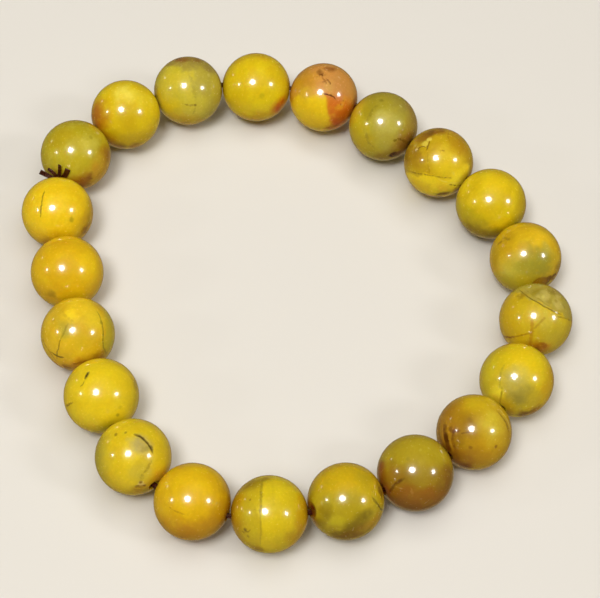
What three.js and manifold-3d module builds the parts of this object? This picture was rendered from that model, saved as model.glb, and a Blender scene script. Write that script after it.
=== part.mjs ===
// Stretch bracelet of polished golden pietersite, lying flat. Drilled round beads are threaded on one
// doubled elastic cord, which is knotted between two of them, with its four cut ends standing out.
// Millimetres, +Z up. The origin is the middle of the loop, on the surface that the beads rest on.
import * as THREE from 'three';
import { mergeVertices } from 'three/addons/utils/BufferGeometryUtils.js';
import Module from 'manifold-3d';

// Driving dimensions
const beadDiameter = 9;
const beadGap = 0.04; // the sliver that the tight cord leaves between neighbours
const knotSpacing = 0.1; // how much further apart the knot holds its own two neighbours
const holeDiameter = 1.4;
const cordDiameter = 0.9; // both strands of the doubled cord, pulled together
const knotDiameter = 1.1;
const strandThickness = 0.16; // one strand of flat elastic, where it is cut

// Divisions of the curved faces
const beadSides = 20; // round the hole
const beadBands = 9; // from one end of the hole to the other: odd, so that a flat band faces down
const cordSides = 8;
const cordStepsPerBead = 3;
const endSteps = 4;

// The beads in their order on the cord, clockwise from the far left of the loop. Each row gives the
// stone's colour and the way to the next bead, in degrees counterclockwise from +X.
const beads = [
  ['olive', 9],
  ['golden', -5.5],
  ['orange', -26.5],
  ['olive', -35],
  ['honey', -40.5],
  ['golden', -60.5],
  ['golden', -82],
  ['golden', -105],
  ['golden', -124],
  ['honey', -139],
  ['honey', -151.5],
  ['olive', -165],
  ['golden', -185.5],
  ['golden', -215],
  ['golden', -239],
  ['golden', -245],
  ['golden', -254.5],
  ['golden', -255],
  ['golden', -277.5],
  ['olive', -309],
  ['golden', -329],
];

// The knot sits in the gap after this bead. Each cut end starts in it and ends at a tip, given in
// millimetres out of the loop, up, and on towards the next bead, which the end curves over to.
const beadBeforeKnot = 18;
const cutEnds = [
  { out: 2.8, up: -0.5, onward: 1.0, width: 0.6 },
  { out: 1.4, up: 1.45, onward: 0.6, width: 0.34 },
  { out: -0.15, up: 2.85, onward: 0.65, width: 0.42 },
  { out: -1.25, up: 2.4, onward: 0.5, width: 0.58 },
];

const stoneColours = {
  golden: '#d9b41a',
  olive: '#b3a42c',
  honey: '#b8860f',
  orange: '#dd8f2e',
};
const cordColour = '#43160c';

const beadRadius = beadDiameter / 2;
const count = beads.length;
const radians = THREE.MathUtils.degToRad;
const stepAfter = (k) => beadDiameter + beadGap + (k === beadBeforeKnot ? knotSpacing : 0);

const wasm = await Module();
wasm.setup();

function solidOf(geometry) {
  const plain = geometry.clone();
  plain.deleteAttribute('normal');
  plain.deleteAttribute('uv');
  const merged = mergeVertices(plain, 1e-4);
  return new wasm.Manifold(new wasm.Mesh({
    numProp: 3,
    vertProperties: merged.getAttribute('position').array,
    triVerts: new Uint32Array(merged.index.array),
  }));
}

function geometryOf(solid) {
  const { vertProperties, triVerts } = solid.getMesh();
  const geometry = new THREE.BufferGeometry();
  geometry.setAttribute('position', new THREE.BufferAttribute(vertProperties, 3));
  geometry.setIndex(new THREE.BufferAttribute(triVerts, 1));
  geometry.computeVertexNormals();
  return geometry;
}

// Bead centres: one step after another along the headings. The small closing error is shared by all
// the steps, and the loop is then centred on the origin.
function layBeads() {
  const centres = [];
  const here = new THREE.Vector2();
  beads.forEach(([, heading], k) => {
    centres.push(here.clone());
    here.x += stepAfter(k) * Math.cos(radians(heading));
    here.y += stepAfter(k) * Math.sin(radians(heading));
  });
  centres.forEach((centre, k) => centre.addScaledVector(here, -k / count));
  const middle = new THREE.Box2().setFromPoints(centres).getCenter(new THREE.Vector2());
  return centres.map((centre) => new THREE.Vector3(centre.x - middle.x, centre.y - middle.y, beadRadius));
}

const centres = layBeads();
const beadAt = (k) => centres[(k + count) % count];

// Headings from bead to bead fall steadily round the clockwise loop, by one full turn in all.
function headingFrom(k) {
  const step = beadAt(k + 1).clone().sub(beadAt(k));
  const near = radians(beads[(k + count) % count][1]);
  const raw = Math.atan2(step.y, step.x);
  const whole = Math.round((near - raw) / (2 * Math.PI));
  return raw + 2 * Math.PI * (whole - Math.floor(k / count));
}

// Each hole starts halfway between the headings on its two sides. The tight cord then turns the beads
// a little, so that each hole faces its neighbours' holes.
function turnHoles() {
  const turningRounds = 2;
  const turningShare = 0.5;
  let turns = beads.map((_, k) => (headingFrom(k - 1) + headingFrom(k)) / 2);
  const turnAt = (k) => turns[(k + count) % count] - 2 * Math.PI * Math.floor(k / count);
  for (let round = 0; round < turningRounds; round += 1) {
    turns = turns.map((turn, k) => {
      const wanted = headingFrom(k) + headingFrom(k - 1) - (turnAt(k + 1) + turnAt(k - 1)) / 2;
      return turn + turningShare * (wanted - turn);
    });
  }
  return turns;
}

const holeTurns = turnHoles();

// A bead, turned about its hole along Y. The bands between the holes bulge just enough for the flat
// one that faces down to touch the true sphere, so that the bead rests on a small level face.
function beadGeometry() {
  const holeRadius = holeDiameter / 2;
  const rimAngle = Math.asin(holeRadius / beadRadius);
  const band = (Math.PI - 2 * rimAngle) / beadBands;
  const bulge = 1 / (Math.cos(band / 2) * Math.cos(Math.PI / beadSides));
  const profile = [];
  for (let j = 0; j <= beadBands; j += 1) {
    const angle = Math.PI - rimAngle - j * band;
    const radius = j === 0 || j === beadBands ? beadRadius : beadRadius * bulge;
    profile.push(new THREE.Vector2(radius * Math.sin(angle), radius * Math.cos(angle)));
  }
  profile.push(profile[0].clone());
  return new THREE.LatheGeometry(profile, beadSides, Math.PI / beadSides);
}

// The middle of the gap after bead k, where the two hole mouths face each other.
function gapAfter(k) {
  const mouthDepth = Math.sqrt(beadRadius ** 2 - (holeDiameter / 2) ** 2);
  const ahead = (index, sign) => {
    const turn = holeTurns[(index + count) % count];
    const reach = new THREE.Vector3(Math.cos(turn), Math.sin(turn), 0);
    return beadAt(index).clone().addScaledVector(reach, sign * mouthDepth);
  };
  return ahead(k, 1).lerp(ahead(k + 1, -1), 0.5);
}

// The cord runs straight through each bead and turns in the gaps. It is one length that starts and
// ends inside the knot.
function cordRoute() {
  const points = [];
  for (let step = 1; step <= count; step += 1) {
    const k = beadBeforeKnot + step;
    const before = gapAfter(k - 1);
    const after = gapAfter(k);
    points.push(before, before.clone().lerp(beadAt(k), 0.5));
    points.push(beadAt(k).clone(), beadAt(k).clone().lerp(after, 0.5));
  }
  points.push(gapAfter(beadBeforeKnot));
  const insideKnot = 0.06;
  points[0].lerp(points[1], insideKnot);
  points[points.length - 1].lerp(points[points.length - 2], insideKnot);
  return new THREE.CatmullRomCurve3(points);
}

function cordTube() {
  const section = new THREE.Shape();
  for (let side = 0; side < cordSides; side += 1) {
    const angle = 2 * Math.PI * side / cordSides;
    const x = cordDiameter / 2 * Math.cos(angle);
    const y = cordDiameter / 2 * Math.sin(angle);
    if (side === 0) section.moveTo(x, y);
    else section.lineTo(x, y);
  }
  section.closePath();
  return new THREE.ExtrudeGeometry(section, {
    extrudePath: cordRoute(),
    steps: count * cordStepsPerBead,
  });
}

// One flat cut end. It starts in the middle of the knot, rises straight out of the narrow gap, and
// bends over more and more towards the next bead. Its broad side faces along the cord.
function cutEnd({ out, up, onward, width }, knot, outDirection, onDirection) {
  const upDirection = new THREE.Vector3(0, 0, 1);
  const across = outDirection.clone().multiplyScalar(-up).addScaledVector(upDirection, out).normalize();
  const strip = new THREE.BoxGeometry(width, strandThickness, 1, 1, 1, endSteps);
  const corners = strip.getAttribute('position');
  for (let i = 0; i < corners.count; i += 1) {
    const share = corners.getZ(i) + 0.5;
    const corner = knot.clone()
      .addScaledVector(outDirection, out * share)
      .addScaledVector(upDirection, up * share)
      .addScaledVector(onDirection, onward * share ** 3 + corners.getY(i))
      .addScaledVector(across, corners.getX(i));
    corners.setXYZ(i, corner.x, corner.y, corner.z);
  }
  return strip;
}

function elasticCord() {
  const knot = gapAfter(beadBeforeKnot);
  const onDirection = beadAt(beadBeforeKnot + 1).clone().sub(beadAt(beadBeforeKnot)).normalize();
  const outDirection = new THREE.Vector3(-onDirection.y, onDirection.x, 0);
  const lump = new THREE.IcosahedronGeometry(knotDiameter / 2, 1).translate(knot.x, knot.y, knot.z);
  const pieces = [lump, ...cutEnds.map((end) => cutEnd(end, knot, outDirection, onDirection))];
  const whole = pieces.reduce((sum, piece) => sum.add(solidOf(piece)), solidOf(cordTube()));
  return geometryOf(whole);
}

const bracelet = new THREE.Group();
bracelet.name = 'pietersite_bracelet';

const polishedStone = Object.fromEntries(Object.entries(stoneColours).map(([name, colour]) => [
  name,
  new THREE.MeshStandardMaterial({ color: colour, roughness: 0.12, metalness: 0 }),
]));
const beadShape = beadGeometry();
beads.forEach(([stone], k) => {
  const bead = new THREE.Mesh(beadShape, polishedStone[stone]);
  bead.name = `bead_${String(k + 1).padStart(2, '0')}`;
  bead.position.copy(centres[k]);
  bead.rotation.z = holeTurns[k] - Math.PI / 2;
  bracelet.add(bead);
});

const elastic = new THREE.MeshStandardMaterial({ color: cordColour, roughness: 0.45, metalness: 0 });
const cord = new THREE.Mesh(elasticCord(), elastic);
cord.name = 'elastic_cord';
bracelet.add(cord);

export default bracelet;
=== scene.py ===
# Stretch bracelet of polished golden pietersite, lying on a table as a loose ring: drilled round beads
# threaded on a doubled elastic, which is knotted between two of them with its cut ends standing out.
import math
import random

import bmesh
import bpy
from mathutils import Matrix, Quaternion, Vector


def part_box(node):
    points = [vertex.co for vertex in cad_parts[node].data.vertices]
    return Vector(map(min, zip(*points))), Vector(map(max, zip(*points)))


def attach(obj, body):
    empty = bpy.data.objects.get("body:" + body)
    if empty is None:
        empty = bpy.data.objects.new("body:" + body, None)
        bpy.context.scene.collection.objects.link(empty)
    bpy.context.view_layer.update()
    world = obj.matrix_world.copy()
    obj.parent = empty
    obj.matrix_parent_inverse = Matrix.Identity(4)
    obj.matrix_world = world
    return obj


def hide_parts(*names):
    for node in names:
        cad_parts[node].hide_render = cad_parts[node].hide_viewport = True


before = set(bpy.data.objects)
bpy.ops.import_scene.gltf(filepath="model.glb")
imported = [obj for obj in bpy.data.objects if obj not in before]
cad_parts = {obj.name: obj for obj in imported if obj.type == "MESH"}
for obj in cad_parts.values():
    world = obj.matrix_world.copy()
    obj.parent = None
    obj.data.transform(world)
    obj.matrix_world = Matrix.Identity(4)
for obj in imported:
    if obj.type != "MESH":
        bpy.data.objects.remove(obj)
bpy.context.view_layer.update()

# Camera
# The bracelet is looked down on from its near side, from about an arm's length, by a camera that is
# held a little askew.
ELEVATION = math.radians(58.71)
ASKEW = math.radians(4.19)
DISTANCE = 0.2297
AIM = Vector((0.00109, -0.00150, 0.0045))
FIELD_OF_VIEW = math.radians(18.346)

camera = bpy.data.objects.new("camera", bpy.data.cameras.new("camera"))
camera.data.angle = FIELD_OF_VIEW
tilt = Matrix.Rotation(math.pi / 2 - ELEVATION, 4, "X") @ Matrix.Rotation(ASKEW, 4, "Z")
camera.matrix_world = Matrix.Translation(AIM) @ tilt @ Matrix.Translation((0, 0, DISTANCE))
bpy.context.scene.collection.objects.link(camera)
bpy.context.scene.camera = camera

# Beads: the ground and drilled shape
# Each bead starts as a cube sawn from a lump of pietersite, is ground round in a bead mill, drilled
# through the middle, and tumbled until it shines. The drill leaves a small eased rim at both ends.
HOLE_RADIUS = 0.0007
RIM_EASE = 0.00006
RIM_SEGMENTS = 3
STEPS_ALONG_HOLE = 90
STEPS_ROUND_HOLE = 128
HOLE_WALL_CUTS = 6
SHARPEST_CURVE = math.radians(30)
RIM_REACH = 1.005  # in bead radii: the CAD bead's facets bulge farther out than this between its rims
SEAM_WIDTH = 1e-4  # in bead radii: points closer than this are one
BEADS = sorted(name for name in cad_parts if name.startswith("bead_"))


def middle_of(node):
    low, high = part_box(node)
    return (low + high) / 2


def radius_of(node):
    low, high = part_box(node)
    return (high.z - low.z) / 2


def hole_direction(node):
    """Which way a bead is drilled. Only the two rims of the hole lie on the true sphere."""
    middle, radius = middle_of(node), radius_of(node)
    from_middle = [v.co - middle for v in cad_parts[node].data.vertices]
    rims = [v for v in from_middle if v.length < radius * RIM_REACH]
    one_rim = [v for v in rims if v.dot(rims[0]) > 0]
    return sum(one_rim, Vector()).normalized()


def ground_bead(radius):
    """A bead drilled along Z, from an arc that is closed by the wall of the hole and spun about it."""
    rim_angle = math.asin(HOLE_RADIUS / radius)
    shape = bmesh.new()
    first = shape.verts.new((HOLE_RADIUS, 0, radius * math.cos(rim_angle)))
    arc = bmesh.ops.spin(
        shape, geom=[first], cent=(0, 0, 0), axis=(0, 1, 0), angle=math.pi - 2 * rim_angle,
        steps=STEPS_ALONG_HOLE, use_merge=False,
    )
    last = next(v for v in arc["geom_last"] if isinstance(v, bmesh.types.BMVert))
    wall = shape.edges.new((first, last))
    bmesh.ops.subdivide_edges(shape, edges=[wall], cuts=HOLE_WALL_CUTS)
    bmesh.ops.spin(
        shape, geom=shape.verts[:] + shape.edges[:], cent=(0, 0, 0), axis=(0, 0, 1),
        angle=2 * math.pi, steps=STEPS_ROUND_HOLE, use_merge=True,
    )
    bmesh.ops.remove_doubles(shape, verts=shape.verts, dist=radius * SEAM_WIDTH)
    bmesh.ops.recalc_face_normals(shape, faces=shape.faces)
    rims = [edge for edge in shape.edges if edge.calc_face_angle() > SHARPEST_CURVE]
    bmesh.ops.bevel(
        shape, geom=rims, offset=RIM_EASE, segments=RIM_SEGMENTS, profile=0.5,
        affect="EDGES", material=-1,
    )
    mesh = bpy.data.meshes.new("ground_bead")
    shape.to_mesh(mesh)
    shape.free()
    mesh.shade_smooth()
    return mesh


BEAD_SHAPE = ground_bead(radius_of(BEADS[0]))


def linear(colour):
    """An sRGB hex colour as linear red, green, blue and alpha."""
    parts = [int(colour[i:i + 2], 16) / 255 for i in (1, 3, 5)]
    return [p / 12.92 if p <= 0.04045 else ((p + 0.055) / 1.055) ** 2.4 for p in parts] + [1]


def add(tree, kind, inputs, **settings):
    """Adds a shader node with its settings. Its inputs take values, or the outputs of other nodes."""
    node = tree.nodes.new("ShaderNode" + kind)
    for name, value in settings.items():
        setattr(node, name, value)
    for name, value in inputs.items():
        if isinstance(value, bpy.types.NodeSocket):
            tree.links.new(value, node.inputs[name])
        else:
            node.inputs[name].default_value = value
    return node


FACTOR, FIRST, SECOND, MIXED = 0, 6, 7, 2  # the colour sockets of a Mix node


def blend(tree, first, second, factor):
    """A mixture of two colours. Where the factor is 1 it is all the second one."""
    mix = add(tree, "Mix", {FACTOR: factor, FIRST: first, SECOND: second}, data_type="RGBA")
    return mix.outputs[MIXED]


class Pietersite:
    """The stone of one bead. Patterns are laid out on a sphere of radius 1 round the bead's middle. A place
    on the face that the bead turns up to the eye is given as how far right and up of its middle it is."""

    FARTHEST_SHIFT = 20  # in bead radii, so that no two beads are cut from the same place in the pattern
    BLUNT_ENDS = 6  # how late a vein or a crack thins out towards its ends
    PIT_REACH = 1.3  # how much wider a pit opens than the colour inside it
    CRACK_WIDTH = 1.2  # how much wider a crack opens than the colour inside it
    FINER_REACH = 1.6  # how far round a crack or pit the mesh is made finer
    FINER_ROUNDS = 2
    SKIN_DEPTH = 0.98  # in bead radii: what lies deeper is the wall of the hole, which stays straight
    GLOW_DEPTH = 0.3  # in bead radii: how far light gets into the stone

    def __init__(self, node, light, deep):
        self.node = node
        self.middle = middle_of(node)
        self.radius = radius_of(node)
        self.hole = hole_direction(node)
        self.front = (camera.matrix_world.translation - self.middle).normalized()
        sideways = camera.matrix_world.to_3x3().col[0]
        self.right = (sideways - self.front * sideways.dot(self.front)).normalized()
        self.up = self.front.cross(self.right)
        self.material = bpy.data.materials.new("tumbled pietersite, " + node)
        self.material.use_nodes = True
        self.tree = self.material.node_tree
        self.tree.nodes.clear()
        self.random = random.Random(int(node[-2:]))
        self.dents = []  # the middle, reach, direction across, level, width and depth of each crack or pit
        self.lay_out()
        self.cloud(light, deep)

    def add(self, kind, inputs, **settings):
        return add(self.tree, kind, inputs, **settings)

    def lay_out(self):
        """The smooth pattern space, and two rumpled copies that give patches and veins natural edges."""
        place = self.add("TexCoord", {})
        scale = 1 / self.radius
        self.space = self.add("Mapping", {
            "Vector": place.outputs["Object"],
            "Location": self.middle * -scale,
            "Scale": (scale, scale, scale),
        }).outputs["Vector"]
        shift = [self.random.uniform(-self.FARTHEST_SHIFT, self.FARTHEST_SHIFT) for _ in range(3)]
        self.own = self.add("VectorMath", {0: self.space, 1: shift}, operation="ADD").outputs[0]
        broad = self.add("TexNoise", {"Vector": self.own, "Scale": 2.6, "Detail": 2.0})
        fine = self.add("TexNoise", {"Vector": self.own, "Scale": 9.0, "Detail": 2.0})
        self.rumpled = self.moved(self.moved(self.space, broad, amount=0.45), fine, amount=0.05)
        self.unsteady = self.moved(self.moved(self.space, broad, amount=0.08), fine, amount=0.03)
        broken = self.add("TexNoise", {"Vector": self.own, "Scale": 5.0, "Detail": 4.0})
        self.uneven = self.add("MapRange", {
            "Value": broken.outputs["Fac"], "From Min": 0.3, "From Max": 0.5, "To Min": 0.7,
        }).outputs[0]
        worn = self.add("TexNoise", {"Vector": self.own, "Scale": 12.0, "Detail": 2.0})
        self.frayed = self.add("MapRange", {
            "Value": worn.outputs["Fac"], "From Min": 0.42, "From Max": 0.66, "To Max": 1.1,
        }).outputs[0]

    def moved(self, places, noise, amount):
        """The same places, each pushed aside by the colour of a noise. Mid grey leaves a place alone."""
        mid_grey = (0.5, 0.5, 0.5)
        push = self.add("VectorMath", {0: noise.outputs["Color"], 1: mid_grey}, operation="SUBTRACT")
        push = self.add("VectorMath", {0: push.outputs[0], "Scale": amount}, operation="SCALE")
        return self.add("VectorMath", {0: places, 1: push.outputs[0]}, operation="ADD").outputs[0]

    def cloud(self, light, deep):
        """The ground colour drifts between the two shades of the stone."""
        drift = self.add("TexNoise", {"Vector": self.own, "Scale": 1.1, "Detail": 3.0, "Distortion": 0.7})
        share = self.add("MapRange", {"Value": drift.outputs["Fac"], "From Min": 0.38, "From Max": 0.68})
        self.colour = blend(self.tree, linear(light), linear(deep), share.outputs[0])

    def at(self, place):
        """A place (right, up) on the face, or (right, up, -1) on the side turned away, as a direction."""
        right, up = place[:2]
        side = -1 if len(place) > 2 else 1
        depth = math.sqrt(max(0, 1 - right * right - up * up))
        return (self.right * right + self.up * up + self.front * depth * side).normalized()

    def toward(self, heading):
        """A heading across the face, in degrees counterclockwise from the right, as a direction."""
        turn = math.radians(heading)
        return self.right * math.cos(turn) + self.up * math.sin(turn)

    def tint(self, mask, colour, strength):
        """Lays a colour over the stone where the mask is 1, never quite evenly."""
        faded = self.add("Math", {0: mask, 1: strength}, operation="MULTIPLY")
        faded = self.add("Math", {0: faded.outputs[0], 1: self.uneven}, operation="MULTIPLY")
        self.colour = blend(self.tree, self.colour, linear(colour), faded.outputs[0])

    def patch(self, place, size, colour, strength=1.0, edge=0.6):
        """A cloud of another colour, round in the main, with a natural edge."""
        apart = self.add("VectorMath", {0: self.rumpled, 1: self.at(place)}, operation="DISTANCE")
        mask = self.add("MapRange", {
            "Value": apart.outputs["Value"],
            "From Min": size * (1 + edge),
            "From Max": size * (1 - edge),
        }, interpolation_type="SMOOTHSTEP")
        self.tint(mask.outputs[0], colour, strength)

    def zone(self, place, heading, colour, strength=1.0, edge=0.2):
        """All the stone past a place, in the given heading across the face."""
        across = self.toward(heading)
        level = self.add("VectorMath", {0: self.rumpled, 1: across}, operation="DOT_PRODUCT")
        start = self.at(place).dot(across)
        mask = self.add("MapRange", {
            "Value": level.outputs["Value"], "From Min": start - edge, "From Max": start + edge,
        }, interpolation_type="SMOOTHSTEP")
        self.tint(mask.outputs[0], colour, strength)

    def spot(self, place, size, colour, strength=0.9, edge=0.55, depth=0.0):
        """A small inclusion, or with a depth a pit that has broken out of the surface."""
        middle = self.at(place)
        apart = self.add("VectorMath", {0: self.unsteady, 1: middle}, operation="DISTANCE")
        mask = self.add("MapRange", {
            "Value": apart.outputs["Value"],
            "From Min": size * (1 + edge),
            "From Max": size * (1 - edge),
        }, interpolation_type="SMOOTHSTEP")
        self.tint(mask.outputs[0], colour, strength)
        if depth:
            all_round = Vector()  # unlike a crack, a pit has no direction across
            self.dents.append((middle, size * self.PIT_REACH, all_round, 0, 1, depth))

    def vein(self, start, middle, end, width, colour, strength=0.9, fray=1.0, depth=0.0):
        """A line through three places, frayed and thin at its ends, or with a depth a clean open crack."""
        one, two, three = self.at(start), self.at(middle), self.at(end)
        across = (two - one).cross(three - one).normalized()
        width *= math.sqrt(1 - across.dot(two) ** 2)
        reach = max((one - two).length, (three - two).length)
        level = self.add("VectorMath", {0: self.unsteady, 1: across}, operation="DOT_PRODUCT")
        beside = self.add("Math", {0: level.outputs["Value"], 1: one.dot(across)}, operation="SUBTRACT")
        beside = self.add("Math", {0: beside.outputs[0], 1: width}, operation="DIVIDE")
        beside = self.add("Math", {0: beside.outputs[0], 1: beside.outputs[0]}, operation="MULTIPLY")
        along = self.add("VectorMath", {0: self.unsteady, 1: two}, operation="DISTANCE")
        along = self.add("Math", {0: along.outputs["Value"], 1: reach}, operation="DIVIDE")
        along = self.add("Math", {0: along.outputs[0], 1: self.BLUNT_ENDS}, operation="POWER")
        away = self.add("Math", {0: beside.outputs[0], 1: along.outputs[0]}, operation="ADD")
        if not depth:
            worn = self.add("Math", {0: self.frayed, 1: fray}, operation="MULTIPLY")
            away = self.add("Math", {0: away.outputs[0], 1: worn.outputs[0]}, operation="ADD")
        mask = self.add("MapRange", {"Value": away.outputs[0], "From Min": 1.5, "From Max": 0.0})
        self.tint(mask.outputs[0], colour, strength)
        if depth:
            self.dents.append((two, reach, across, one.dot(across), width * self.CRACK_WIDTH, depth))

    # Painted sheen: the pale streaks stand for the silky light the fibrous stone reflects, laid over its
    # grain.
    def grain_and_sheen(self, heading, colour, strength, closeness=9.0):
        """Streaks one way through the stone: its fibrous grain, with a painted silky sheen, pale or dark."""
        turn = self.toward(heading).to_track_quat("X", "Z").inverted().to_euler()
        turned = self.add("Mapping", {"Vector": self.unsteady, "Rotation": turn})
        narrow = (1, closeness, closeness)
        drawn = self.add("VectorMath", {0: turned.outputs[0], 1: narrow}, operation="MULTIPLY")
        streaks = self.add("TexNoise", {"Vector": drawn.outputs[0], "Scale": 1.0, "Detail": 3.0})
        mask = self.add("MapRange", {"Value": streaks.outputs["Fac"], "From Min": 0.48, "From Max": 0.68})
        self.tint(mask.outputs[0], colour, strength)

    def drilled(self, colour, strength):
        """Paints shade round both hole mouths, where beads meet, and the dark elastic seen through the
        stone.
        """
        level = self.add("VectorMath", {0: self.unsteady, 1: self.hole}, operation="DOT_PRODUCT")
        level = self.add("Math", {0: level.outputs["Value"]}, operation="ABSOLUTE")
        mask = self.add("MapRange", {
            "Value": level.outputs[0], "From Min": 0.87, "From Max": 0.985,
        }, interpolation_type="SMOOTHSTEP")
        self.tint(mask.outputs[0], colour, strength)

    def far_side(self, deep, pale):
        """The side turned away has marks of the same kinds, strewn at random."""
        for colour in (deep, pale, deep, pale):
            place = (self.random.uniform(-0.7, 0.7), self.random.uniform(-0.7, 0.7), -1)
            self.patch(place, self.random.uniform(0.12, 0.32), colour, strength=0.6)
        for _ in range(2):
            right, up = self.random.uniform(-0.5, 0.5), self.random.uniform(-0.5, 0.5)
            heading = self.random.uniform(0, 2 * math.pi)
            bend = heading + self.random.uniform(-0.7, 0.7)
            reach = self.random.uniform(0.2, 0.45)
            start = (right - reach * math.cos(heading), up - reach * math.sin(heading), -1)
            end = (right + reach * math.cos(bend), up + reach * math.sin(bend), -1)
            self.vein(start, (right, up, -1), end, width=0.022, colour=deep, strength=0.8)

    def polish(self):
        """The finished surface: a glassy tumbled polish over stone that lets light a little way in."""
        speckle = self.add("TexNoise", {"Vector": self.own, "Scale": 14.0, "Detail": 5.0})
        speck = self.add("MapRange", {"Value": speckle.outputs["Fac"], "To Min": 0.86, "To Max": 1.14})
        colour = self.add("VectorMath", {0: self.colour, "Scale": speck.outputs[0]}, operation="SCALE")
        rough = self.add("MapRange", {"Value": speckle.outputs["Fac"], "To Min": 0.2, "To Max": 0.31})
        shader = self.add("BsdfPrincipled", {
            "Base Color": colour.outputs[0],
            "Roughness": rough.outputs[0],
            "IOR": 1.54,
            "Specular IOR Level": 0.5,
            "Subsurface Weight": 0.45,
            "Subsurface Radius": (1.0, 0.6, 0.12),
            "Subsurface Scale": self.radius * self.GLOW_DEPTH,
            "Coat Weight": 1.0,
            "Coat Roughness": 0.035,
            "Coat IOR": 1.54,
        })
        self.add("OutputMaterial", {"Surface": shader.outputs[0]})
        return self.material

    def depth_at(self, way, swell=1.0):
        """How far the cracks and pits go in at a place, in bead radii. With a swell they reach wider."""
        deepest = 0
        for middle, reach, across, level, width, depth in self.dents:
            along = (way - middle).length / (reach * swell)
            beside = (way.dot(across) - level) / (width * swell)
            deepest = max(deepest, depth * (1 - beside ** 2 - along ** self.BLUNT_ENDS))
        return deepest

    def open_cracks(self, mesh):
        """Cuts the open cracks and pits into a bead that is still centred on the origin."""
        shape = bmesh.new()
        shape.from_mesh(mesh)
        for _ in range(self.FINER_ROUNDS):
            near = [
                edge for edge in shape.edges
                if self.depth_at((edge.verts[0].co + edge.verts[1].co).normalized(), self.FINER_REACH) > 0
            ]
            bmesh.ops.subdivide_edges(shape, edges=near, cuts=1, use_grid_fill=True)
        for vertex in shape.verts:
            way = vertex.co.normalized()
            if vertex.co.length > self.radius * self.SKIN_DEPTH:
                vertex.co -= way * self.depth_at(way) * self.radius
        shape.to_mesh(mesh)
        shape.free()


def string_bead(stone):
    """The finished bead takes the place of its CAD node."""
    mesh = BEAD_SHAPE.copy()
    mesh.transform(stone.hole.to_track_quat("Z", "Y").to_matrix().to_4x4())
    if stone.dents:
        stone.open_cracks(mesh)
    mesh.transform(Matrix.Translation(stone.middle))
    mesh.materials.append(stone.polish())
    bead = bpy.data.objects.new("polished_" + stone.node, mesh)
    bpy.context.scene.collection.objects.link(bead)
    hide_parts(stone.node)
    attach(bead, "root")


# Golden beads
# Most of the string is clear golden stone, even but for its fibrous grain, a few cracks that iron has
# stained olive and brown, and grey lenses of stone that stayed blue before the rest weathered to gold. The
# silky sheen of the grain is painted in, and so is shade: most beads are darker towards the bottom and
# right rims, and round the mouths of the hole.
GOLD_LIGHT = "#ead01c"
GREY_STONE = "#b3a548"
OLIVE_SHADE = "#a5970c"
# The brown of iron stains, also the colour of the painted shade round the hole mouths of several beads.
BROWN_STAIN_AND_HOLE_SHADE = "#a8720a"

stone = Pietersite("bead_02", "#dfc60e", "#d4b40a")
stone.grain_and_sheen(75, GOLD_LIGHT, 0.2)
stone.spot((0.7, -0.56), 0.3, "#c65a0a", 0.95)
# Painted shade: darker along the bottom rim.
stone.zone((0, -0.84), 275, "#cb9c0c", 0.8)
stone.zone((0, 0.8), 95, "#cda40c", 0.7)
stone.spot((0.17, -0.25), 0.08, OLIVE_SHADE, 0.5)
stone.drilled(BROWN_STAIN_AND_HOLE_SHADE, 0.4)
stone.far_side("#b9790a", GOLD_LIGHT)
string_bead(stone)

stone = Pietersite("bead_06", "#dabf0e", "#cbac08")
stone.grain_and_sheen(60, GOLD_LIGHT, 0.25)
stone.patch((0.05, 0.6), 0.4, "#e4c512", 0.7)
stone.patch((0.15, -0.05), 0.3, "#cfb40c", 0.8, edge=0.8)
# Painted shade: darker towards the right rim, the lower left and the bottom, in the next four marks.
stone.zone((0.74, 0), 350, "#b89c08", 0.7)
stone.zone((-0.35, -0.35), 236, "#bba80c", 0.8, edge=0.15)
stone.zone((-0.6, -0.55), 236, "#aa970c", 0.7)
stone.zone((0, -0.7), 258, "#8c730a", 0.85)
stone.drilled(OLIVE_SHADE, 0.5)
stone.far_side(OLIVE_SHADE, GOLD_LIGHT)
string_bead(stone)

stone = Pietersite("bead_07", "#d4ae10", "#c8a00a")
stone.grain_and_sheen(30, GOLD_LIGHT, 0.25)
stone.patch((0.38, -0.12), 0.5, "#998f26", 0.95)
stone.patch((-0.1, -0.32), 0.3, "#a2982a", 0.85, edge=0.8)
stone.patch((-0.82, 0.1), 0.3, "#bd9c0a", 0.8)
stone.patch((-0.5, 0.5), 0.28, "#bb950a", 0.8)
stone.patch((0.45, 0.55), 0.28, "#e2bc1c", 0.9)
stone.patch((-0.46, -0.46), 0.3, "#cdc046", 0.85, edge=0.9)
stone.patch((0.6, 0.22), 0.18, "#bfae46", 0.6)
stone.zone((0, -0.55), 262, "#b8a81a", 0.85)
stone.patch((0.92, -0.32), 0.22, "#94761a", 0.8)
stone.spot((0.4, -0.72), 0.26, "#90640a", 1.0, edge=0.12)
stone.spot((0.62, -0.6), 0.14, "#7c520a", 1.0, edge=0.2)
stone.spot((0.38, -0.75), 0.23, "#ae7c10", 1.0, edge=0.25)
stone.spot((0.78, -0.52), 0.12, "#704508", 1.0, edge=0.35)
stone.vein((-0.78, 0.36), (-0.71, 0.42), (-0.63, 0.46), 0.045, "#8a6a0c", 0.85, fray=0.6)
stone.vein((-0.6, 0.55), (-0.51, 0.55), (-0.45, 0.44), 0.04, "#8a6a0c", 0.8, fray=0.6)
stone.patch((-0.28, 0.04), 0.18, "#cab640", 0.8, edge=0.8)
stone.drilled("#8a6a10", 0.5)
stone.far_side("#8a6a10", "#cbba4a")
string_bead(stone)

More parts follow.
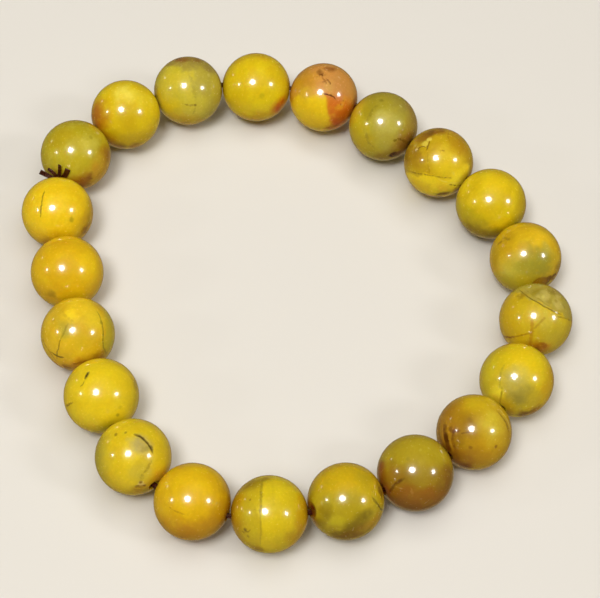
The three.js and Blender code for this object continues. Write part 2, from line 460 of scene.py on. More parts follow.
stone = Pietersite("bead_08", "#ccb01c", "#bfa316")
stone.grain_and_sheen(80, GOLD_LIGHT, 0.2)
stone.zone((-0.45, 0), 190, "#cdab0a", 0.9, edge=0.3)
stone.zone((0.08, 0.43), 62, "#a9993a", 0.9, edge=0.03)
stone.patch((0.22, 0.66), 0.16, "#c2b058", 0.8)
stone.patch((0.62, 0.42), 0.16, "#c4b25a", 0.8)
stone.patch((0.42, 0.72), 0.12, "#8f7c26", 0.7)
stone.patch((0.25, -0.05), 0.22, "#c2b444", 0.6, edge=0.9)
stone.patch((0.55, -0.35), 0.34, "#b7a428", 0.7, edge=0.8)
stone.patch((0.08, -0.76), 0.22, "#c47e12", 0.9, edge=0.7)
stone.vein((0.02, -0.7), (0.14, -0.66), (0.3, -0.74), 0.06, "#9a560a", 0.8, fray=0.6)
stone.vein((-0.28, 0.82), (0.02, 0.6), (0.3, 0.4), 0.02, "#8f7c1c", 0.7)
stone.vein((-0.38, 0.75), (0.03, 0.47), (0.7, 0.11), 0.022, "#756010", 0.95, depth=0.006)
stone.vein((0.76, 0.04), (0.86, 0.01), (0.99, -0.06), 0.03, "#7c6614", 0.8)
stone.vein((-0.1, -0.1), (-0.11, -0.35), (-0.15, -0.7), 0.055, "#a8740e", 0.85, fray=0.6)
stone.vein((0.26, 0.06), (0.1, -0.1), (-0.08, -0.28), 0.04, "#a07c18", 0.7, fray=0.5)
stone.vein((-0.94, -0.4), (-0.62, -0.47), (-0.15, -0.36), 0.03, "#94680a", 0.8, fray=0.5)
stone.vein((-0.92, -0.42), (-0.8, -0.47), (-0.64, -0.5), 0.03, "#7a300a", 0.85)
stone.patch((-0.86, -0.58), 0.13, "#c49c58", 0.7)
stone.patch((0.35, 0.52), 0.08, "#94822a", 0.6)
stone.patch((0.04, 0.76), 0.15, "#92801a", 0.8)
stone.patch((0.74, 0.34), 0.08, "#8f7e26", 0.6)
stone.patch((0.6, 0.62), 0.1, "#c8b860", 0.7)
stone.spot((0.2, 0.62), 0.05, "#cfc05c", 0.8)
stone.spot((0.55, 0.5), 0.05, "#8f7c20", 0.6)
stone.spot((0.48, 0.78), 0.05, "#94761c", 0.6)
stone.patch((-0.38, 0.66), 0.13, "#9c8016", 0.8)
stone.drilled("#96600a", 0.5)
stone.far_side("#96600a", "#b9a938")
string_bead(stone)

stone = Pietersite("bead_09", "#d6bd14", "#c9ac10")
stone.grain_and_sheen(65, GOLD_LIGHT, 0.25)
stone.patch((0.2, 0.65), 0.5, "#e2c410", 0.8)
stone.zone((-0.5, 0), 185, "#ccba20", 0.8, edge=0.3)
stone.patch((-0.05, -0.05), 0.34, "#b8aa4e", 0.85, edge=0.8)
stone.patch((0.12, -0.47), 0.3, "#968830", 0.95, edge=0.8)
stone.patch((-0.55, -0.45), 0.28, "#e8d634", 0.95)
stone.patch((0.52, -0.5), 0.24, "#b8a224", 0.7)
# Painted shade: darker towards the right rim and along the bottom rim, in the next three marks.
stone.zone((0.8, 0), 348, "#c8940a", 0.7)
stone.patch((0.48, -0.82), 0.22, "#94640a", 0.9)
stone.patch((0.14, -0.91), 0.23, "#80580a", 0.95)
stone.vein((-0.3, 0.42), (-0.44, 0.1), (-0.39, -0.28), 0.04, "#a08f1c", 0.6, fray=0.5)
stone.vein((-0.38, -0.24), (-0.41, -0.5), (-0.46, -0.74), 0.035, "#8f7d14", 0.75, fray=0.5)
stone.vein((-0.24, -0.9), (0.0, -0.93), (0.26, -0.9), 0.025, "#7a5a0a", 0.8)
stone.vein((0.2, -0.76), (0.42, -0.72), (0.62, -0.6), 0.03, "#b8860c", 0.7)
stone.drilled(BROWN_STAIN_AND_HOLE_SHADE, 0.5)
stone.far_side(BROWN_STAIN_AND_HOLE_SHADE, GREY_STONE)
string_bead(stone)

stone = Pietersite("bead_13", "#d3bb16", "#cab010")
stone.grain_and_sheen(88, GOLD_LIGHT, 0.3, closeness=6.0)
stone.zone((-0.2, 0), 180, "#c0a818", 0.8, edge=0.05)
# Painted shade: darker towards both side rims.
stone.zone((-0.7, 0), 180, "#b4880a", 0.85)
stone.zone((0.68, 0), 350, "#bd8e08", 0.85)
stone.patch((-0.45, 0.76), 0.24, "#8f740e", 0.8, edge=0.8)
stone.patch((-0.1, 0.88), 0.16, "#86700c", 0.8, edge=0.8)
stone.vein((-0.17, 0.9), (-0.21, 0.55), (-0.21, 0.1), 0.04, "#8f7d16", 0.85, fray=0.6)
stone.vein((-0.2, 0.2), (-0.22, -0.3), (-0.22, -0.8), 0.03, "#a08c18", 0.7, fray=0.5)
stone.vein((0.04, 0.86), (0.1, 0.5), (0.1, 0.2), 0.05, "#bfa616", 0.5)
stone.vein((-0.36, 0.08), (-0.28, 0.04), (-0.14, 0.06), 0.02, "#9c8614", 0.6)
stone.vein((-0.5, -0.34), (-0.58, -0.44), (-0.68, -0.44), 0.03, "#7c6210", 0.8)
stone.spot((-0.6, -0.4), 0.05, "#6e5210", 0.8)
stone.spot((-0.53, -0.55), 0.04, "#8a6c10", 0.7)
stone.spot((-0.5, 0.36), 0.03, "#7c6210", 0.6)
# Painted shade: darker at the lower right and along the bottom rim.
stone.patch((0.5, -0.6), 0.16, "#b08e0c", 0.6)
stone.patch((-0.34, -0.84), 0.16, "#a07c0c", 0.7)
stone.drilled(BROWN_STAIN_AND_HOLE_SHADE, 0.5)
stone.far_side("#92730c", GOLD_LIGHT)
string_bead(stone)

stone = Pietersite("bead_14", "#e0ba0c", "#d4aa08")
stone.grain_and_sheen(86, "#bf9008", 0.2, closeness=7.0)
# Painted shade: darker towards the bottom, in the next two marks.
stone.zone((0, -0.45), 262, "#c4920c", 0.85, edge=0.3)
stone.patch((-0.1, -0.78), 0.3, "#b47c0a", 0.7)
stone.patch((0.1, -0.05), 0.3, "#d6ac0c", 0.8, edge=0.8)
# Painted shade: darker towards the right rim and the lower right.
stone.zone((0.7, 0), 340, "#ac7e08", 0.85)
stone.patch((0.45, -0.6), 0.3, "#ba8808", 0.8)
stone.vein((-0.62, -0.12), (-0.42, -0.24), (-0.24, -0.3), 0.03, "#a87e08", 0.7)
stone.vein((0.6, 0.6), (0.7, 0.2), (0.68, -0.3), 0.04, "#b98c08", 0.5)
stone.drilled("#a0600c", 0.6)
stone.far_side(BROWN_STAIN_AND_HOLE_SHADE, GOLD_LIGHT)
string_bead(stone)

stone = Pietersite("bead_15", "#dcc01a", "#d0b210")
stone.grain_and_sheen(55, GOLD_LIGHT, 0.25)
stone.patch((0.18, 0.32), 0.25, "#b0a058", 0.9, edge=0.7)
stone.patch((0.22, -0.38), 0.3, "#bdac40", 0.5)
stone.patch((0.27, 0.2), 0.09, "#a3903c", 0.8)
stone.zone((-0.74, 0), 180, "#a9a030", 0.75, edge=0.25)
stone.patch((0.97, 0.3), 0.16, "#b0720c", 0.7)
stone.vein((0.04, 0.57), (0.33, 0.41), (0.49, 0.08), 0.045, "#54400c", 1.0, depth=0.012)
stone.vein((0.46, -0.12), (0.38, -0.28), (0.24, -0.42), 0.04, "#8f7c1c", 0.75)
stone.vein((0.24, -0.42), (0.18, -0.52), (0.17, -0.62), 0.04, "#9c8a20", 0.6)
stone.patch((0.2, -0.71), 0.13, "#e2cc7c", 0.8)
stone.spot((0.1, -0.77), 0.05, "#4e3208", depth=0.015)
stone.spot((0.2, -0.66), 0.05, "#7c5a18", depth=0.015)
stone.spot((0.29, -0.75), 0.045, "#5a3c0c", depth=0.015)
stone.spot((0.17, -0.8), 0.03, "#7c5c1c", depth=0.015)
stone.spot((-0.2, 0.62), 0.035, "#8a7414", 0.8)
stone.spot((-0.45, 0.57), 0.045, "#94780c", 0.8)
stone.patch((0.66, -0.56), 0.3, "#dab024", 0.9)
# Painted shade: darker along the bottom rim.
stone.patch((0.1, -0.86), 0.24, "#b08a18", 0.8)
stone.drilled("#a05010", 0.2)
stone.far_side("#9a6c10", GREY_STONE)
string_bead(stone)

stone = Pietersite("bead_16", "#e2c618", "#d6b90e")
stone.grain_and_sheen(70, GOLD_LIGHT, 0.25)
# Painted shade: darker towards the right rim and along the bottom rim.
stone.zone((0.84, 0), 345, "#bca810", 0.7)
stone.zone((0, -0.86), 270, "#c4ab0c", 0.7)
stone.patch((0.5, -0.5), 0.4, "#e2c81c", 0.8)
stone.patch((0.0, 0.05), 0.3, "#d8ba14", 0.7, edge=0.8)
stone.vein((-0.33, 0.65), (-0.37, 0.54), (-0.42, 0.43), 0.045, "#44360a", 1.0, depth=0.02)
stone.vein((-0.4, 0.46), (-0.47, 0.34), (-0.55, 0.24), 0.024, "#857014", 0.8)
stone.vein((-0.93, -0.27), (-0.85, -0.24), (-0.76, -0.17), 0.03, "#7c5c0c", 0.85)
stone.vein((-0.84, -0.24), (-0.82, -0.29), (-0.86, -0.34), 0.02, "#7c5c0c", 0.7)
stone.spot((0.43, -0.5), 0.05, "#9c8c10", 0.8)
stone.spot((0.48, -0.3), 0.05, "#c2a914", 0.6)
# Painted shade: darker at the right rim.
stone.patch((0.9, 0.27), 0.16, "#a88c10", 0.8)
stone.drilled(OLIVE_SHADE, 0.5)
stone.far_side(OLIVE_SHADE, GOLD_LIGHT)
string_bead(stone)

stone = Pietersite("bead_17", "#deba1a", "#d2a810")
stone.grain_and_sheen(50, "#e6c838", 0.3, closeness=7.0)
# Painted sheen: a bright silky patch at the upper left.
stone.patch((-0.2, 0.5), 0.22, "#efcf24", 0.95)
stone.vein((-0.42, 0.62), (-0.3, 0.45), (-0.12, 0.3), 0.04, "#c29a0c", 0.5)
stone.patch((0.1, 0.85), 0.36, "#ecca22", 0.8)
stone.patch((0.42, 0.45), 0.3, "#e2c628", 0.85)
stone.patch((-0.55, 0.4), 0.22, "#c9a81e", 0.75)
stone.patch((0.6, -0.62), 0.2, "#aa7e0a", 0.9)
stone.patch((0.0, -0.82), 0.2, "#eab824", 0.9)
stone.patch((0.1, -0.1), 0.3, "#cfae1a", 0.8, edge=0.8)
stone.patch((-0.34, 0.1), 0.2, "#aa9c30", 0.75, edge=0.8)
stone.zone((0.68, 0), 0, "#c2b01c", 0.9, edge=0.05)
stone.zone((0, -0.74), 262, "#dca818", 0.9, edge=0.15)
stone.vein((-0.28, 0.26), (-0.36, 0.08), (-0.46, -0.12), 0.035, "#8c7c10", 0.75, fray=0.6)
stone.vein((-0.46, -0.12), (-0.53, -0.4), (-0.55, -0.66), 0.024, "#66500a", 0.9, fray=0.5)
stone.vein((-0.72, -0.48), (-0.56, -0.57), (-0.36, -0.62), 0.024, "#5e480a", 0.9, depth=0.01)
stone.vein((-0.97, -0.05), (-0.82, -0.36), (-0.58, -0.72), 0.03, "#a0780c", 0.8, fray=0.6)
stone.vein((0.5, 0.62), (0.63, 0.3), (0.67, -0.05), 0.03, "#857610", 0.85, fray=0.5)
stone.vein((0.66, -0.02), (0.68, -0.3), (0.76, -0.52), 0.03, "#7a7010", 0.85, fray=0.5)
stone.spot((0.62, 0.32), 0.05, "#857610", 0.7)
stone.patch((0.57, -0.68), 0.25, "#a87c0a", 0.9)
stone.patch((0.15, -0.76), 0.13, "#b8840c", 0.8)
# Painted shade: darker at the bottom rim.
stone.patch((-0.26, -0.9), 0.16, "#8a5c0c", 0.9)
stone.vein((-0.2, -0.84), (0.1, -0.74), (0.42, -0.66), 0.035, "#8a500c", 0.7)
stone.drilled("#a0600c", 0.5)
stone.far_side("#96700c", GOLD_LIGHT)
string_bead(stone)

stone = Pietersite("bead_18", "#dfb60c", "#d4a808")
stone.grain_and_sheen(20, GOLD_LIGHT, 0.15)
stone.patch((-0.2, 0.85), 0.3, "#cfa00a", 0.6)
stone.patch((0.6, 0.2), 0.36, "#eac614", 0.85)
stone.patch((-0.05, 0.0), 0.32, "#d2a80c", 0.8, edge=0.8)
stone.patch((-0.42, -0.58), 0.13, "#a8860a", 0.8)
# Painted shade: darker along the bottom rim.
stone.patch((0.14, -0.84), 0.22, "#ac8a08", 0.85)
stone.drilled(OLIVE_SHADE, 0.3)
stone.far_side("#b08a08", GOLD_LIGHT)
string_bead(stone)

stone = Pietersite("bead_19", "#edca14", "#e2bb0c")
stone.grain_and_sheen(65, "#f2d830", 0.25)
# Painted shade: darker towards the right rim and the bottom, in the next two marks.
stone.zone((0.78, 0), 340, "#b08608", 0.75)
stone.zone((0, -0.62), 270, "#d2a808", 0.6)
stone.vein((-0.36, 0.56), (-0.43, 0.25), (-0.45, -0.14), 0.028, "#74600a", 0.95, fray=0.4)
stone.spot((0.38, -0.2), 0.07, "#a89208", 0.75)
# Painted shade: darker at the lower right and along the bottom rim.
stone.patch((0.8, -0.46), 0.18, "#9a6a08", 0.85)
stone.patch((-0.25, -0.88), 0.2, "#b8860a", 0.8)
stone.drilled(BROWN_STAIN_AND_HOLE_SHADE, 0.4)
stone.far_side("#b9970a", GOLD_LIGHT)
string_bead(stone)

stone = Pietersite("bead_21", "#dec20e", "#d0b008")
stone.grain_and_sheen(15, GOLD_LIGHT, 0.25)
# Painted sheen: a pale silky band across the top, in the next two marks.
stone.patch((-0.05, 0.64), 0.28, "#ebd952", 0.9, edge=0.8)
stone.patch((0.42, 0.5), 0.22, "#e0cc34", 0.7, edge=0.8)
# Painted shade: darker towards the bottom.
stone.zone((0, -0.45), 265, "#c4a608", 0.7)
stone.patch((0.05, -0.05), 0.36, "#c8aa0c", 0.85, edge=0.8)
stone.patch((-0.5, -0.72), 0.26, "#b07c08", 0.85)
stone.patch((-0.86, -0.1), 0.44, "#b8700c", 0.95, edge=0.6)
stone.spot((0.33, -0.85), 0.06, "#a08208", 0.6)
# Painted shade: darker along the bottom rim.
stone.patch((-0.25, -0.9), 0.2, "#8a580a", 0.9)
stone.patch((0.27, -0.9), 0.2, "#9c6a0a", 0.8)
stone.drilled("#b0700a", 0.4)
stone.far_side("#b0700a", GOLD_LIGHT)
string_bead(stone)

# Olive beads
# Four beads are milky olive stone, more cloudy than the golden ones, with stains of the brown iron ore
# that runs through pietersite. Their hole mouths carry painted shade, and two of them are darker along the
# bottom and right rims with painted shade.
MILKY_OLIVE = "#cabd50"

stone = Pietersite("bead_01", "#cdbc34", "#bfae28")
stone.grain_and_sheen(80, MILKY_OLIVE, 0.3, closeness=7.0)
stone.patch((-0.5, 0.3), 0.34, "#d4bf2c", 0.6)
stone.zone((0.15, 0), 0, "#ae9f3c", 0.75, edge=0.07)
stone.zone((0, 0.66), 84, "#98843a", 0.8, edge=0.08)
stone.patch((-0.5, -0.55), 0.35, "#dcc01a", 0.9)
stone.patch((0.3, -0.5), 0.36, "#cebe3a", 0.8)
stone.zone((0, -0.78), 262, "#cba520", 0.8)
stone.patch((-0.22, 0.91), 0.2, "#8c501c", 0.9)
stone.patch((0.2, 0.92), 0.18, "#8c5a20", 0.7)
stone.spot((-0.26, 0.94), 0.08, "#702a10")
stone.vein((0.03, 0.52), (0.13, 0.15), (0.2, -0.28), 0.06, "#9c8c30", 0.6)
stone.vein((-0.14, -0.38), (0.04, -0.41), (0.26, -0.41), 0.035, "#85701c", 0.8)
stone.spot((0.2, -0.42), 0.04, "#6e5a18", 0.7)
stone.vein((0.2, -0.45), (0.17, -0.57), (0.15, -0.68), 0.04, "#a0902c", 0.6)
stone.spot((0.6, 0.45), 0.05, "#cabc58", 0.5)
stone.patch((-0.86, -0.15), 0.18, "#dcc21c", 0.8)
stone.drilled("#8f6a1c", 0.4)
stone.far_side("#8f6a1c", MILKY_OLIVE)
string_bead(stone)

stone = Pietersite("bead_04", "#b5a728", "#a4971f")
stone.grain_and_sheen(70, MILKY_OLIVE, 0.3, closeness=6.0)
stone.zone((-0.45, 0.1), 175, "#c8b014", 0.85, edge=0.1)
stone.patch((-0.4, 0.5), 0.26, "#a39016", 0.75)
stone.patch((0.15, 0.05), 0.36, "#bdb050", 0.9, edge=0.8)
stone.patch((0.1, -0.45), 0.28, "#b0a03c", 0.7)
# Painted shade: darker along the bottom rim.
stone.patch((0.05, -0.86), 0.3, "#9a7c20", 0.8)
stone.zone((0, 0.62), 85, "#a08d22", 0.75, edge=0.3)
stone.patch((0.55, 0.55), 0.34, "#968634", 0.8, edge=0.9)
# Painted shade: darker towards the right rim.
stone.zone((0.72, 0), 2, "#9c7c34", 0.85, edge=0.2)
stone.patch((0.66, -0.5), 0.38, "#8c5a26", 0.95, edge=0.7)
stone.patch((-0.5, -0.5), 0.3, "#b89f1c", 0.7)
stone.vein((-0.14, 0.62), (-0.34, 0.4), (-0.47, 0.12), 0.06, "#87781c", 0.7)
stone.vein((-0.5, -0.25), (-0.44, -0.44), (-0.22, -0.64), 0.05, "#87781c", 0.6)
stone.spot((0.3, -0.82), 0.13, "#552c06", 1.0, edge=0.25)
stone.spot((0.44, -0.8), 0.09, "#5e3208", 0.9)
stone.patch((0.55, -0.75), 0.16, "#784814", 0.85)
stone.spot((0.52, -0.42), 0.14, "#8c6a24", 0.8)
stone.vein((0.36, -0.43), (0.47, -0.37), (0.6, -0.41), 0.035, "#5e400e", 0.9, fray=0.5)
stone.vein((0.56, -0.4), (0.66, -0.46), (0.8, -0.44), 0.04, "#6e480e", 0.8, fray=0.5)
stone.spot((0.33, -0.41), 0.05, "#7c6a14", 0.7)
stone.spot((-0.05, 0.74), 0.07, "#7c6c10", 0.7)
# Painted glint: a small pale streak at the upper right.
stone.vein((0.44, 0.62), (0.5, 0.57), (0.56, 0.52), 0.035, "#cabf66", 0.7)
stone.vein((0.54, 0.2), (0.59, 0.08), (0.58, -0.04), 0.03, "#bdb04e", 0.6)
stone.drilled("#7e5c18", 0.5)
stone.far_side("#8a5a18", MILKY_OLIVE)
string_bead(stone)

stone = Pietersite("bead_12", "#b49f18", "#a59012")
stone.grain_and_sheen(35, "#c4b424", 0.3, closeness=6.0)
stone.zone((0, 0.2), 80, "#c9a80a", 0.95, edge=0.25)
stone.patch((0.5, 0.05), 0.3, "#bfa61c", 0.7)
stone.patch((0.1, -0.1), 0.3, "#ac9716", 0.8)
stone.patch((-0.15, -0.58), 0.24, "#bcaa18", 0.9, edge=0.6)
stone.patch((-0.5, -0.3), 0.2, "#8f7a0c", 0.85, edge=0.7)
stone.patch((-0.62, -0.55), 0.16, "#8f7a0c", 0.7, edge=0.7)
stone.patch((0.36, -0.74), 0.36, "#8f6c14", 0.95, edge=0.6)
# Painted shade: darker along the bottom rim.
stone.patch((-0.05, -0.9), 0.3, "#765208", 0.9)
stone.patch((0.8, -0.45), 0.24, "#b68c10", 0.85)
stone.patch((0.64, -0.56), 0.2, "#b08c1a", 0.9)
stone.spot((0.54, -0.32), 0.15, "#7c6812", 0.8)
stone.spot((0.36, -0.48), 0.18, "#7c680c", 0.8, edge=0.8)
stone.spot((0.12, -0.64), 0.16, "#7c680c", 0.8, edge=0.8)
stone.patch((0.5, 0.55), 0.26, "#b39b14", 0.8)
stone.vein((0.2, -0.62), (-0.1, -0.78), (-0.4, -0.82), 0.08, "#7f6a10", 0.8)
stone.vein((0.75, 0.56), (0.86, 0.32), (0.92, 0.06), 0.04, "#8c7410", 0.7)
stone.vein((0.76, -0.02), (0.84, -0.12), (0.95, -0.24), 0.035, "#64500e", 0.9, fray=0.4)
stone.spot((-0.87, -0.22), 0.15, "#5c1a06", 1.0, depth=0.03)
# Painted shade: darker at the right rim.
stone.patch((0.88, 0.27), 0.15, "#785814", 0.9)
stone.drilled("#7c2c0e", 0.8)
stone.far_side("#857214", MILKY_OLIVE)
string_bead(stone)

stone = Pietersite("bead_20", "#bfad20", "#b2a016")
stone.grain_and_sheen(60, "#cabd40", 0.35, closeness=6.0)
stone.patch((-0.45, 0.5), 0.35, "#b39a0e", 0.8)
stone.patch((0.42, 0.3), 0.25, "#c9ba44", 0.8, edge=0.8)
stone.zone((0.42, -0.32), 318, "#c6981a", 0.9, edge=0.22)
stone.patch((0.89, 0.06), 0.28, "#a0700a", 0.9, edge=0.8)
stone.spot((0.42, 0.5), 0.06, "#9c8c18", 0.6)
stone.patch((0.36, -0.66), 0.12, "#84560a", 0.9, edge=0.7)
stone.vein((0.24, -0.64), (0.36, -0.66), (0.48, -0.68), 0.04, "#744008", 0.8)
stone.patch((0.06, -0.82), 0.32, "#965c0c", 1.0)
stone.vein((0.2, 0.45), (0.36, 0.2), (0.4, -0.15), 0.07, "#cabd48", 0.6)
stone.drilled("#8a5c0c", 0.5)
stone.far_side("#8a5c0c", MILKY_OLIVE)
string_bead(stone)

# Honey beads
# Three beads have turned brown where more iron got in: honey-coloured stone with dark veins, and clouds
# the colour of burnt sugar. Their hole mouths and bottom rims are darkened with painted shade, one also at
# its right rim, and another has two pale painted glints among its dark veins.
BURNT_SUGAR = "#94610d"

stone = Pietersite("bead_05", "#c9ab12", "#ba950c")
stone.grain_and_sheen(50, "#dcc02a", 0.3, closeness=6.0)
stone.zone((0, -0.38), 266, "#f0d418", 1.0, edge=0.05)
stone.patch((0.58, -0.5), 0.3, "#faea3c", 1.0, edge=0.7)
stone.patch((-0.6, -0.62), 0.24, "#e4c216", 0.9)
stone.patch((0.3, 0.0), 0.5, "#e0c41c", 0.85)
stone.patch((0.62, 0.55), 0.36, "#b3870c", 0.85)
stone.patch((-0.45, 0.72), 0.26, "#8f5e0e", 0.9)
stone.patch((0.0, 0.93), 0.24, "#94620c", 0.9)
stone.patch((0.42, 0.9), 0.2, "#a8720c", 0.8)
stone.patch((-0.82, 0.22), 0.3, "#9a720e", 0.9)
stone.patch((-0.62, 0.02), 0.2, "#a8800c", 0.7)
stone.spot((-0.38, 0.53), 0.1, "#dac444", 1.0, edge=0.35)
stone.spot((-0.26, 0.66), 0.08, "#e2cc50", 0.9, edge=0.3)
# Painted shade: a dark band along the bottom rim.
stone.zone((-0.1, -0.92), 266, "#7a500a", 1.0, edge=0.06)
stone.patch((0.54, -0.78), 0.16, "#85540a", 0.9)
stone.patch((0.15, -0.74), 0.18, "#f0cc1c", 0.9)
stone.patch((0.82, -0.33), 0.2, "#f8dc28", 0.95)
stone.patch((-0.25, 0.87), 0.17, "#80560f", 0.9)
stone.vein((-0.6, 0.36), (-0.5, 0.44), (-0.38, 0.38), 0.03, "#5c3e0a", 1.0, fray=0.3)
stone.vein((-0.36, 0.36), (-0.3, 0.48), (-0.25, 0.62), 0.026, "#6e4a0c", 0.9, fray=0.4)
stone.vein((-0.66, 0.3), (-0.64, 0.4), (-0.58, 0.47), 0.03, "#e0c86a", 0.8)
stone.vein((-0.3, 0.3), (-0.3, -0.02), (-0.24, -0.34), 0.03, "#a8860f", 0.7)
stone.vein((-0.93, -0.2), (-0.35, -0.35), (0.45, -0.43), 0.022, "#85650a", 0.85)
stone.vein((0.1, -0.5), (0.42, -0.58), (0.8, -0.5), 0.03, "#eeda50", 0.8)
stone.vein((0.36, -0.62), (0.56, -0.65), (0.78, -0.58), 0.03, "#7a500c", 0.85)
stone.vein((0.3, 0.9), (0.28, 0.74), (0.3, 0.56), 0.025, "#9a680c", 0.7)
stone.vein((0.3, 0.86), (0.48, 0.8), (0.62, 0.68), 0.03, "#c8860c", 0.7)
stone.vein((0.02, 0.26), (0.08, 0.32), (0.18, 0.34), 0.03, "#9c7a10", 0.8)
stone.drilled("#7a4c0a", 0.5)
stone.far_side(BURNT_SUGAR, "#dcc22a")
string_bead(stone)

stone = Pietersite("bead_10", "#c29c10", "#b48a0c")
stone.grain_and_sheen(70, "#caa61e", 0.3, closeness=6.0)
stone.patch((0.1, 0.8), 0.4, "#ccae12", 0.8)
stone.patch((-0.15, 0.2), 0.36, "#9c7608", 0.9, edge=0.8)
stone.patch((0.52, 0.2), 0.38, "#ceb82e", 0.9, edge=0.8)
stone.zone((-0.4, 0), 184, "#a67812", 0.95, edge=0.25)
stone.patch((-0.25, -0.72), 0.42, "#9c6c10", 0.95, edge=0.7)
stone.patch((0.25, -0.65), 0.2, "#b0840c", 0.7)
stone.patch((-0.38, -0.24), 0.2, "#946c0c", 0.8, edge=0.8)
# Painted shade: darker at the bottom rim.
stone.patch((-0.25, -0.9), 0.2, "#74420a", 0.9)
stone.patch((0.22, 0.02), 0.16, "#b8940c", 0.7, edge=0.8)
stone.vein((-0.76, 0.14), (-0.74, -0.14), (-0.62, -0.5), 0.1, "#653408", 0.95, fray=0.5)
stone.spot((-0.72, -0.16), 0.13, "#562804", 1.0)
stone.spot((-0.66, -0.42), 0.09, "#562804", 0.7)
stone.vein((-0.92, 0.2), (-0.91, 0.0), (-0.85, -0.28), 0.08, "#6a3406", 0.7)
# Painted glints: two pale strips among the dark veins at the left, in the next two marks.
stone.vein((-0.81, 0.16), (-0.82, -0.08), (-0.76, -0.34), 0.04, "#c08e20", 0.8, fray=0.8)
stone.vein((-0.64, 0.04), (-0.62, -0.22), (-0.5, -0.56), 0.045, "#bf8c1e", 0.8, fray=0.8)
stone.vein((-0.5, 0.1), (-0.54, -0.16), (-0.46, -0.46), 0.05, "#7a460a", 0.85, fray=0.6)
stone.vein((-0.66, 0.1), (-0.52, 0.02), (-0.4, 0.03), 0.05, "#6e3c0a", 0.85, fray=0.5)
stone.vein((0.6, 0.56), (0.8, 0.3), (0.9, 0.02), 0.04, "#7c5c0c", 0.85, fray=0.4)
stone.vein((0.66, 0.6), (0.86, 0.34), (0.95, 0.0), 0.045, "#dcc04c", 0.9, fray=0.4)
stone.vein((-0.36, -0.06), (-0.22, -0.02), (-0.1, 0.02), 0.03, "#74500a", 0.8)
stone.spot((-0.1, 0.3), 0.08, "#8c6808", 0.7)
stone.spot((-0.09, -0.4), 0.05, "#7c520a", 0.8)
stone.spot((0.57, -0.38), 0.045, "#7c520a", 0.8)
stone.drilled("#6e340a", 0.6)
stone.far_side(BURNT_SUGAR, "#caa61e")
string_bead(stone)

stone = Pietersite("bead_11", "#b09a1a", "#a68e14")
stone.grain_and_sheen(75, "#baa52c", 0.3, closeness=6.0)
stone.zone((0, 0.08), 262, "#8c6a0e", 0.9, edge=0.3)
stone.zone((0.05, -0.32), 264, "#925e12", 0.95, edge=0.14)
# Painted shade: darker along the bottom rim.
stone.zone((0, -0.75), 264, "#7e500f", 0.7)
stone.patch((0.22, -0.12), 0.24, "#a28a26", 0.6, edge=0.8)
stone.patch((-0.6, -0.1), 0.26, "#976c12", 0.75, edge=0.9)
stone.patch((-0.93, 0.05), 0.26, "#8f4c12", 0.9)
# Painted shade: darker towards the right rim.
stone.patch((0.86, -0.14), 0.34, "#825610", 0.9, edge=0.8)
stone.vein((-0.38, -0.2), (-0.56, -0.34), (-0.7, -0.56), 0.045, "#58300a", 0.95, fray=0.4)
stone.vein((-0.5, -0.34), (-0.38, -0.38), (-0.24, -0.44), 0.025, "#b9904c", 0.7)
stone.vein((-0.1, -0.4), (-0.06, -0.5), (-0.08, -0.62), 0.035, "#ac7a30", 0.7)
stone.vein((-0.88, -0.2), (-0.78, -0.44), (-0.68, -0.66), 0.045, "#9c5c28", 0.7)
stone.spot((-0.18, 0.36), 0.05, "#8c7a14", 0.6)
stone.spot((0.15, 0.58), 0.04, "#c2ae34", 0.6)
stone.patch((-0.78, -0.44), 0.12, "#a86a34", 0.8)
stone.drilled("#7a3c0e", 0.4)
stone.far_side(BURNT_SUGAR, "#baa52c")
string_bead(stone)

# Orange bead
# One bead was cut where golden stone meets red jasper: yellow on one side, and salmon and burnt orange on
# the other, with fine dark tree-like growths along the top.
stone = Pietersite("bead_03", "#eac816", "#e0ba0e")
stone.grain_and_sheen(60, GOLD_LIGHT, 0.2)
stone.zone((0.13, -0.25), 19, "#d0721c", 1.0, edge=0.1)
stone.zone((0, 0.1), 94, "#cf9240", 1.0, edge=0.12)
stone.patch((-0.66, 0.42), 0.42, "#c3901c", 0.95, edge=0.7)
stone.patch((-0.97, -0.05), 0.2, "#c0800e", 0.7)
stone.patch((-0.55, 0.12), 0.15, "#d6b21e", 0.8)
stone.patch((0.85, 0.15), 0.34, "#d0963c", 0.9, edge=0.7)
stone.patch((0.5, -0.62), 0.28, "#c05a0c", 0.9)
stone.patch((0.25, -0.88), 0.2, "#b0600a", 0.9)
stone.patch((0.88, -0.25), 0.18, "#c8680e", 0.8)
stone.patch((0.4, 0.4), 0.36, "#c68c44", 0.9, edge=0.8)
stone.patch((-0.36, 0.16), 0.15, "#d6ae30", 0.7)
stone.patch((0.15, 0.28), 0.17, "#cfa04c", 0.7)
stone.vein((0.02, 0.12), (0.2, 0.08), (0.36, -0.07), 0.022, "#4e2008", 1.0, fray=0.2)
stone.patch((-0.08, 0.72), 0.12, "#8a541c", 0.85)
stone.patch((0.25, 0.82), 0.14, "#8e501c", 0.85)
stone.vein((-0.04, 0.72), (-0.07, 0.6), (0.0, 0.5), 0.03, "#743e12", 0.9)
stone.vein((-0.18, 0.68), (-0.12, 0.6), (-0.04, 0.62), 0.03, "#743e12", 0.9)
stone.vein((0.05, 0.56), (0.12, 0.46), (0.22, 0.36), 0.03, "#743e12", 0.9)
stone.vein((0.02, 0.52), (0.02, 0.44), (0.06, 0.36), 0.025, "#743e12", 0.7)
stone.vein((0.38, 0.62), (0.44, 0.54), (0.52, 0.5), 0.03, "#dab070", 0.6)
stone.spot((0.5, -0.22), 0.03, "#9c4410", 0.7)
stone.spot((0.58, -0.1), 0.03, "#9c4410", 0.6)
stone.drilled("#8a3c0e", 0.5)
stone.far_side("#b8500c", "#e2c01a")
string_bead(stone)

